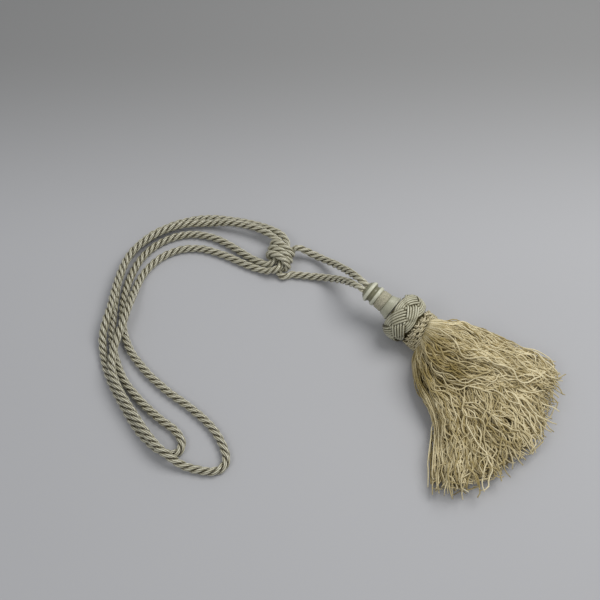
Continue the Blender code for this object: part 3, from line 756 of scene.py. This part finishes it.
def barrel_relief(share, turn, position):
    """A woven cover: two sets of slanting ribs that cross, fading out at both edges."""
    diagonal = np.sin(WEAVE_RIBS * turn + WEAVE_SLANT * position)
    other = np.sin(WEAVE_RIBS * turn - WEAVE_SLANT * position)
    edge = np.clip(np.minimum(share, 1 - share) * 8, 0, 1)
    return WEAVE_DEPTH * diagonal * other * edge


def satin_relief(share, turn, position):
    """Slight unevenness of the wound thread."""
    return (SATIN_DEPTH * np.sin(9.0 * position + 2 * turn)
            + SATIN_DEPTH * np.cos(7 * turn + 0.6 * position))


KNOB_MIDDLE = -2.3
KNOB_MID_RADIUS = 22.15
KNOB_ARC_HALF = 20.0
KNOB_ARC_ANGLE = 1.12                                # radians from its middle to its edge
KNOB_LENGTH_HALF = 12.4
KNOB_DROP = 9.4
KNOB_CORE_RINGS = 33
KNOB_CORE_SIDES = 72
KNOB_CORE_SINK = 0.5
BRAID_BANDS = 3
BRAID_WAVES = 2
BRAID_SAMPLES = 260
BRAID_PHASE = 1.3
BRAID_SWING = 11.2
BRAID_LIFT = 1.5
BRAID_LIFT_EDGE = 1.2
BRAID_LIFT_WIDTH = 7                                 # samples that the lift is averaged over
# Span of facing over which painted shade fills the gaps between the plait's cords
BRAID_SHADE_SPAN = (0.28, 0.90)
BRAID_CORD_RADIUS = 1.30
BRAID_CORD_SIDES = 8
BAND_CORDS = 5
BAND_PITCH = 3.02


def knob_profile(arc):
    """Position and radius on the middle of the plait, at a distance along its profile."""
    angle = np.clip(arc / KNOB_ARC_HALF, -1.15, 1.15) * KNOB_ARC_ANGLE
    position = KNOB_LENGTH_HALF * np.sin(angle) / math.sin(KNOB_ARC_ANGLE)
    radius = KNOB_MID_RADIUS - KNOB_DROP * (1 - np.cos(angle))
    return position, radius


def away_from_axis(paths):
    """Directions straight out from the head's axis, for points in the head frame."""
    flat = paths * np.array((0.0, 1.0, 1.0))
    return unit(from_head(paths) - from_head(paths - unit(flat)))


def smoothed(values, width):
    """Moving average round a closed row."""
    kernel = np.ones(width) / width
    padded = np.concatenate((values[-width:], values, values[:width]))
    return np.convolve(padded, kernel, mode="same")[width:-width]


def band_phase(band):
    return TURN * band / BRAID_BANDS + BRAID_PHASE


def braid_lift(band, turn, arc):
    """How far a band's cord is lifted over, or pushed under, the bands that it crosses."""
    half_band = (BAND_CORDS * BAND_PITCH) / 2
    lift = np.zeros(BRAID_SAMPLES)
    own = np.sin(2 * (BRAID_WAVES * turn + band_phase(band)))
    for other in range(BRAID_BANDS):
        if other == band:
            continue
        other_u = BRAID_WAVES * turn + TURN * other / BRAID_BANDS + BRAID_PHASE
        gap = np.abs(arc - BRAID_SWING * np.sin(other_u))
        gap = gap / np.hypot(1, BRAID_SWING * BRAID_WAVES * np.cos(other_u) / KNOB_MID_RADIUS)
        covered = np.clip((half_band + BRAID_LIFT_EDGE - gap) / BRAID_LIFT_EDGE, 0, 1)
        lift += covered * np.sign(own - np.sin(2 * other_u))
    return smoothed(np.clip(lift, -1, 1), BRAID_LIFT_WIDTH) * BRAID_LIFT


def knob():
    """Three wide bands of cords plaited round the mould."""
    base = np.linspace(0, TURN, BRAID_SAMPLES, endpoint=False)
    paths, tones = [], []
    chance = np.random.default_rng(11)
    for band in range(BRAID_BANDS):
        u = BRAID_WAVES * base + band_phase(band)
        lateral = BRAID_SWING * np.sin(u)
        slope = BRAID_SWING * BRAID_WAVES * np.cos(u)
        length = np.hypot(KNOB_MID_RADIUS, slope)
        for cord in range(BAND_CORDS):
            offset = (cord - (BAND_CORDS - 1) / 2) * BAND_PITCH
            arc = lateral + offset * KNOB_MID_RADIUS / length
            turn = base - offset * slope / length / KNOB_MID_RADIUS
            position, radius = knob_profile(arc)
            radius = radius + braid_lift(band, turn, arc)
            points = np.stack((KNOB_MIDDLE + position, radius * np.cos(turn),
                               radius * np.sin(turn)), axis=-1)
            points = above_floor(points, BRAID_CORD_RADIUS * 1.05)
            paths.append(np.vstack((points, points[:1])))
            tones.append(chance.uniform(0, 1))
    paths = np.asarray(paths)
    radii = np.full(paths.shape[:2], BRAID_CORD_RADIUS * MM)
    mesh = tube_mesh("knob_plait", from_head(paths), radii, BRAID_CORD_SIDES,
                     tones=np.asarray(tones), outward=away_from_axis(paths),
                     shade_span=BRAID_SHADE_SPAN)
    place("knob_plait", mesh, braid_material, "braid", "head_knob")
    arcs = np.linspace(-KNOB_ARC_HALF, KNOB_ARC_HALF, KNOB_CORE_RINGS)
    position, radius = knob_profile(arcs)
    radius = (radius - BRAID_LIFT - KNOB_CORE_SINK)[:, None]
    core = rings_round_axis(KNOB_MIDDLE + position, radius, KNOB_CORE_SIDES)
    place("knob_mould", ring_mesh("knob_mould", from_head(core)), core_shade_material, "braid",
          "head_knob")


# Rows of loops in the ruff, and the core under them, as (position, radius)
RUFF_ROWS = [
    (11.9, 14.9), (12.6, 17.3), (14.0, 18.1), (15.6, 18.3), (17.2, 18.4), (18.9, 18.5),
    (20.6, 18.6), (22.3, 18.6), (24.0, 18.3), (25.4, 17.6),
]
RUFF_CORE_PROFILE = [
    (8.5, 6.0), (8.6, 14.6), (10.6, 15.8), (12.4, 16.7), (15.2, 17.1), (22.0, 17.0),
    (25.4, 15.8), (25.8, 6.0),
]
RUFF_CORE_SIDES = 64
RUFF_LOOPS = 19
RUFF_SAMPLES = RUFF_LOOPS * 14
RUFF_POSITIONS = (11.4, 26.6)
RUFF_RADII = (13.0, 19.8)
RUFF_CORD_RADIUS = 0.82
RUFF_CORD_SIDES = 7
RUFF_CLEARANCE = 0.9


def ruff():
    """Rows of small looped cord bunched behind the knob."""
    chance = np.random.default_rng(5)
    t = np.linspace(0, TURN, RUFF_SAMPLES, endpoint=False)
    paths, tones = [], []
    for position, radius in RUFF_ROWS:
        swing = (1 + 0.3 * np.sin(5 * t + chance.uniform(0, TURN))
                 + 0.3 * np.sin(8 * t + chance.uniform(0, TURN)))
        phase = chance.uniform(0, TURN)
        wave = RUFF_LOOPS * t + phase + 0.7 * np.sin(3 * t + chance.uniform(0, TURN))
        turn = t + 0.10 * swing * np.sin(wave)
        x = position + 1.2 * swing * np.cos(wave) + 0.4 * np.sin(9 * t + phase)
        r = radius + 1.0 * np.sin(2 * wave + 0.8) * swing + 0.5 * np.sin(7 * t + phase)
        x = np.clip(x, *RUFF_POSITIONS)
        r = np.clip(r, *RUFF_RADII)
        points = np.stack((x, r * np.cos(turn), r * np.sin(turn)), axis=-1)
        points = above_floor(points, RUFF_CLEARANCE)
        paths.append(np.vstack((points, points[:1])))
        tones.append(chance.uniform(-0.5, 0.5))
    paths = np.asarray(paths)
    radii = np.full(paths.shape[:2], RUFF_CORD_RADIUS * MM)
    mesh = tube_mesh("ruff_loops", from_head(paths), radii, RUFF_CORD_SIDES,
                     tones=np.asarray(tones), outward=away_from_axis(paths))
    place("ruff_loops", mesh, ruff_material, "braid", "ruff")
    profile = np.array(RUFF_CORE_PROFILE)
    core = rings_round_axis(profile[:, 0], profile[:, 1:], RUFF_CORE_SIDES)
    place("ruff_core", ring_mesh("ruff_core", from_head(core)), core_shade_material, "braid", "ruff")


# ---------------------------------------------------------------- skirt

# The narrow band that the yarns leave, in the head frame
ROOT_POSITION = 25.0
ROOT_RADIUS = 17.0 * 0.97

# The fan, in the lay frame: directions in degrees, left to right
SKIRT_CENTRE = np.array((16.6, -16.3))
FAN_MIDDLE = -53.5
FAN_HALF = 36.0
FAN_SCATTER = 1.6
LEAVE_MIDDLE = -54.0
LEAVE_HALF = 50.0
REACH_LEFT = 168.0
REACH_RIGHT = 134.0
LOW_REACH = 0.88                                     # of the lowest yarns
REACH_SCATTER = (0.93, 1.05)
ROOT_PULL = 42.0
TIP_PULL = 62.0
SETTLED = 0.34                                       # share of its length where a yarn is down
WAIST = 11.0
WAIST_MIDDLE = 0.60
WAIST_LENGTH = 0.22
PILE_ROWS = 8
PILE_ROW_TIP = 1.8
PILE_ROW_ROOT = 3.0
UNDER_LOBE = 0.36

FAN_YARNS = 880
FAN_CLUMPS = 110
CLUMP_SPACING = 0.61803
UNDER_YARNS = 620
UNDER_STEPS = 24
UNDER_GROUPS = 40
LOBE_YARNS = 400
LOBE_CALM = 0.75
YARN_STEPS = 42
YARN_RADIUS = 0.68
YARN_FAN_SIDES = 5
YARN_UNDER_SIDES = 4
FAN_PIECES = ("skirt_fan_a", "skirt_fan_b", "skirt_fan_c", "skirt_fan_d")

# How a yarn wanders: heading waves as (degrees, shortest, longest, shared by its clump)
HEADING_WAVES = [(30, 60, 120, True), (42, 34, 70, False), (38, 16, 30, False)]
HEADING_LIMIT = 1.25
HEIGHT_WAVES = [(2.4, 45, 90, True), (1.3, 18, 36, False), (0.8, 9, 16, False)]
LOOSE_SHARE = 0.09
LOOSE_HEADING = 1.6
LOOSE_LIFT = 2.0
CURL_DEGREES = 48
CURL_LIMIT = 90
CURL_LENGTH = 13

# Soft patches of painted shade and painted light on the yarns, darker where the lobe shades
# the fan and lighter where light falls on the skirt: (across, down) in the picture, size,
# strength
LIGHT_AND_SHADE_PATCHES = [
    (434, 361, 13, -0.45), (453, 379, 14, -0.60), (490, 359, 15, 0.30), (438, 326, 13, 0.30),
    (506, 413, 13, -0.12), (470, 410, 16, 0.20), (531, 392, 26, 0.55), (483, 475, 50, 0.05),
    (455, 440, 20, -0.10), (420, 383, 16, -0.70),
]
PATCH_HEIGHT = 22
TONE_LIMIT = 0.6

# Middle lines of the lobe that arches over to the right: (across, down) in the picture, height
LOBE_GUIDES = [
    [(421, 341, 30), (426, 352, 37), (436, 362, 38), (452, 371, 35), (472, 376, 31),
     (494, 378, 27), (512, 381, 24), (531, 386, 18)],
    [(423, 336, 33), (431, 345, 42), (445, 354, 43), (462, 361, 39), (482, 366, 34),
     (502, 370, 29), (520, 376, 25), (542, 385, 17)],
    [(425, 331, 36), (436, 336, 45), (452, 343, 46), (470, 350, 42), (490, 357, 36),
     (510, 363, 30), (530, 371, 25), (553, 381, 15)],
    [(428, 325, 39), (441, 327, 46), (458, 333, 46), (478, 341, 41), (500, 350, 34),
     (522, 359, 28), (542, 367, 23), (561, 377, 13)],
    [(430, 319, 38), (445, 319, 44), (461, 326, 42), (481, 337, 36), (502, 346, 30),
     (524, 354, 24), (545, 362, 18), (562, 371, 10)],
]
LOBE_STEP = 0.5


def fan_lines(u, w, low, steps, chance):
    """Plan and height of fan yarns in the lay frame, (M, N, 3), from their roots to their tips.

    U is -1 to 1 across the fan, and w 0 to 1 up its pile. Low is the share of its height that
    a yarn gives up near its root, to lie under the lobe.
    """
    count = len(u)
    u, w, low = u[:, None], w[:, None], low[:, None]
    v = 2 * w * (1 - low) - 1
    t = np.linspace(0, 1, steps)[None, :]
    root = head_to_lay(np.stack((np.full_like(u, ROOT_POSITION),
                                 ROOT_RADIUS * u * np.sqrt(1 - v * v / 2),
                                 ROOT_RADIUS * v * np.sqrt(1 - u * u / 2)), axis=-1))
    fan = np.radians(FAN_MIDDLE + FAN_HALF * u + chance.normal(0, FAN_SCATTER, (count, 1)))
    leave = np.radians(LEAVE_MIDDLE + LEAVE_HALF * u)
    reach = REACH_LEFT + (REACH_RIGHT - REACH_LEFT) * (u + 1) / 2
    reach = reach * (LOW_REACH + 0.12 * w) * chance.uniform(*REACH_SCATTER, (count, 1))
    last = np.stack((np.cos(fan), np.sin(fan)), axis=-1)
    tip = SKIRT_CENTRE + reach[..., None] * last
    first = root[..., :2] + ROOT_PULL * np.stack((np.cos(leave), np.sin(leave)), axis=-1)
    second = tip - TIP_PULL * last
    share = t[..., None]
    rest = (1 - t)[..., None]
    plan = (rest ** 3 * root[..., :2] + 3 * rest ** 2 * share * first
            + 3 * rest * share ** 2 * second + share ** 3 * tip)
    waist = np.exp(-((t - WAIST_MIDDLE) / WAIST_LENGTH) ** 2)
    plan[..., 0] += WAIST * smoothstep((-u - 0.1) / 0.8) * waist
    top = PILE_ROWS * (PILE_ROW_TIP + PILE_ROW_ROOT * (1 - t)) + 1.5
    settled = 0.9 + w * top * (1 - low * (1 - smoothstep(t / 0.65)))
    height = root[..., 2] + (settled - root[..., 2]) * smoothstep(t / SETTLED)
    return np.concatenate((plan, height[..., None]), axis=-1)


def lobe_lines(chance):
    """Yarns of the lobe that leaves the band's upper right side and arches over the fan."""
    guides = np.array([resampled(from_picture(guide), YARN_STEPS, LOBE_STEP)
                       for guide in LOBE_GUIDES])
    pick = chance.uniform(0, len(guides) - 1.001, LOBE_YARNS)
    low = pick.astype(int)
    share = (pick - low)[:, None, None]
    lines = guides[low] * (1 - share) + guides[low + 1] * share
    t = np.linspace(0, 1, YARN_STEPS)
    under = chance.uniform(0, 1, (LOBE_YARNS, 1)) ** 1.4
    lines[..., 2] -= under * (4.0 + 9.0 * np.sin(np.pi * np.clip(t[None, :] * 0.9, 0, 1)))
    keep = chance.uniform(0.74, 1.0, (LOBE_YARNS, 1)) * t
    shares = np.broadcast_to(t, keep.shape)
    return moved_along(lines, shares, keep), (pick * 6).astype(int)


def moved_along(lines, run, along):
    """Each line's points moved to new distances along it; run has their present ones."""
    moved = np.empty_like(lines)
    for axis in range(3):
        for index in range(len(lines)):
            moved[index, :, axis] = np.interp(along[index], run[index], lines[index, :, axis])
    return moved


def light_and_shade_tone(lines):
    """What the patches of painted shade and painted light add to the tone at each point of the
    given lines.
    """
    added = np.zeros(lines.shape[:2])
    for across, down, size, strength in LIGHT_AND_SHADE_PATCHES:
        middle, side = from_picture([(across, down, PATCH_HEIGHT),
                                     (across + size, down, PATCH_HEIGHT)])
        spread = np.linalg.norm(side - middle)
        apart = np.linalg.norm(lines[..., :2] - middle[:2], axis=-1)
        added += strength * np.exp(-(apart / spread) ** 2)
    return added


def waves(rows, run, group, chance, total=0.0):
    """Add chance sine waves along each line to a total, some of them shared by its group."""
    for size, low, high, shared in rows:
        number = int(group.max()) + 1 if shared else len(run)
        length = chance.uniform(low, high, (number, 1))
        phase = chance.uniform(0, TURN, (number, 1))
        scale = chance.uniform(0.35, 1.0, (number, 1)) * size
        if shared:
            length, phase, scale = length[group], phase[group], scale[group]
        total = total + scale * np.sin(TURN * run / length + phase)
    return total


def wandered(lines, group, chance, calm, outer):
    """Bend each line sideways and along by a wavy change of its heading, and up and down a little.

    Calm scales a line's waves. Outer is -1 to 1 across the skirt; lines near either edge stray
    outwards very little. A few loose lines turn more and rise higher than the rest.
    """
    count = len(lines)
    spans = np.linalg.norm(np.diff(lines[..., :2], axis=1), axis=2)
    run = travelled(lines[..., :2])
    total = run[:, -1:]
    grow = smoothstep(run / 30.0) * calm[:, None]
    turned = waves(HEADING_WAVES, run, group, chance) + chance.normal(0, 7, (count, 1))
    loose = chance.uniform(0, 1, (count, 1)) < LOOSE_SHARE
    heading = np.clip(grow * np.radians(turned) * np.where(loose, LOOSE_HEADING, 1.0),
                      -HEADING_LIMIT, HEADING_LIMIT)
    curl = np.clip(chance.normal(0, CURL_DEGREES, (count, 1)), -CURL_LIMIT, CURL_LIMIT)
    tail = smoothstep((run - total + CURL_LENGTH) / CURL_LENGTH)
    heading = heading * (1 - 0.45 * tail) + np.radians(curl) * tail

    step = np.concatenate((np.zeros((count, 1)), spans), axis=1)
    aside = np.cumsum(np.sin(heading) * step, axis=1)
    aside = aside - 0.6 * aside[:, -1:] * (run / total)
    edge = np.sign(outer)[:, None]
    room = 2.6 + 21 * (1 - np.abs(outer))[:, None]
    held = room * np.tanh(edge * aside / room)
    aside = edge * np.where(edge * aside > 0, held, edge * aside)
    along = np.cumsum(np.cos(heading) * step, axis=1)
    shrink = chance.uniform(0.93, 1.0, (count, 1))
    along = along * shrink * total / np.max(along, axis=1, keepdims=True)
    moved = moved_along(lines, run, along)
    ahead = unit(np.gradient(moved[..., :2], axis=1))
    moved[..., 0] -= aside * ahead[..., 1]
    moved[..., 1] += aside * ahead[..., 0]
    lift = waves(HEIGHT_WAVES, run, group, chance, LOOSE_LIFT * loose)
    moved[..., 2] += smoothstep(run / 25.0) * lift
    return moved


def add_yarns(names, lines, sides, tones, material, chance):
    """Make tubes of the lines, dealt out at random to the named pieces."""
    count, steps = lines.shape[:2]
    lines[..., 2] = np.maximum(lines[..., 2], YARN_RADIUS + 0.05)
    t = np.linspace(0, 1, steps)[None, :]
    taper = 1 - 0.25 * smoothstep((t - 0.93) / 0.07)
    radii = YARN_RADIUS * chance.uniform(0.85, 1.15, (count, 1)) * taper * MM
    order = chance.permutation(count)
    for piece, name in enumerate(names):
        chosen = order[piece::len(names)]
        tone = np.clip(tones[chosen], -TONE_LIMIT, TONE_LIMIT)[:, None]
        # the random tone of each yarn, plus the patches of painted shade and painted light
        tone = tone + light_and_shade_tone(lines[chosen])
        mesh = tube_mesh(name, from_lay(lines[chosen]), radii[chosen], sides, tones=tone)
        place(name, mesh, material, "yarn", "skirt")


def skirt():
    """Clumps of wavy yarn that leave the band, fall and fan out on the surface."""
    chance = np.random.default_rng(23)
    clump_u = (np.arange(FAN_CLUMPS) * CLUMP_SPACING % 1.0) * 2 - 1
    clump_w = chance.permutation((np.arange(FAN_CLUMPS) + 0.5) / FAN_CLUMPS)
    clump = chance.integers(0, FAN_CLUMPS, FAN_YARNS)
    u = np.clip(clump_u[clump] + chance.normal(0, 0.05, FAN_YARNS), -1.0, 1.0)
    w = np.clip(clump_w[clump] ** 0.8 + chance.normal(0, 0.06, FAN_YARNS), 0, 1)
    low = UNDER_LOBE * smoothstep((u + 0.9) / 0.25)
    fan = wandered(fan_lines(u, w, low, YARN_STEPS, chance), clump, chance, np.ones(FAN_YARNS), u)

    lobe, lobe_group = lobe_lines(chance)
    lobe = wandered(lobe, lobe_group, chance, np.full(LOBE_YARNS, LOBE_CALM),
                    np.full(LOBE_YARNS, 0.5))

    under_u = chance.uniform(-0.92, 0.92, UNDER_YARNS)
    under_w = chance.uniform(0, 0.6, UNDER_YARNS)
    under = fan_lines(under_u, under_w, np.zeros(UNDER_YARNS), UNDER_STEPS, chance)
    under_group = chance.integers(0, UNDER_GROUPS, UNDER_YARNS)
    under = wandered(under, under_group, chance, np.full(UNDER_YARNS, 0.7), under_u)

    group = np.concatenate((clump, FAN_CLUMPS + lobe_group))
    tones = (chance.normal(0, 0.28, int(group.max()) + 1)[group]
             + chance.normal(0, 0.22, len(group)))
    under_tones = chance.normal(0.0, 0.2, UNDER_YARNS)
    add_yarns(FAN_PIECES, np.concatenate((fan, lobe)), YARN_FAN_SIDES, tones, yarn_material,
              chance)
    add_yarns(("skirt_under",), under, YARN_UNDER_SIDES, under_tones, under_material, chance)


set_stage()
rope("main_rope", main_route(), "main_cord")
rope("hanger_rope", hanger_route(), "hanger_cord")
lathe("cap_satin", CAP_PROFILE, 64, 120, satin_material, "satin", "head_cap", satin_relief,
      CAP_SHADE_AND_HIGHLIGHT)
lathe("barrel_rib", BARREL_PROFILE, 60, 208, barrel_material, "ribbed", "head_barrel",
      barrel_relief)
lathe("collar_satin", COLLAR_PROFILE, 50, 120, satin_material, "satin", "head_collar",
      satin_relief, COLLAR_TONE)
knob()
ruff()
skirt()
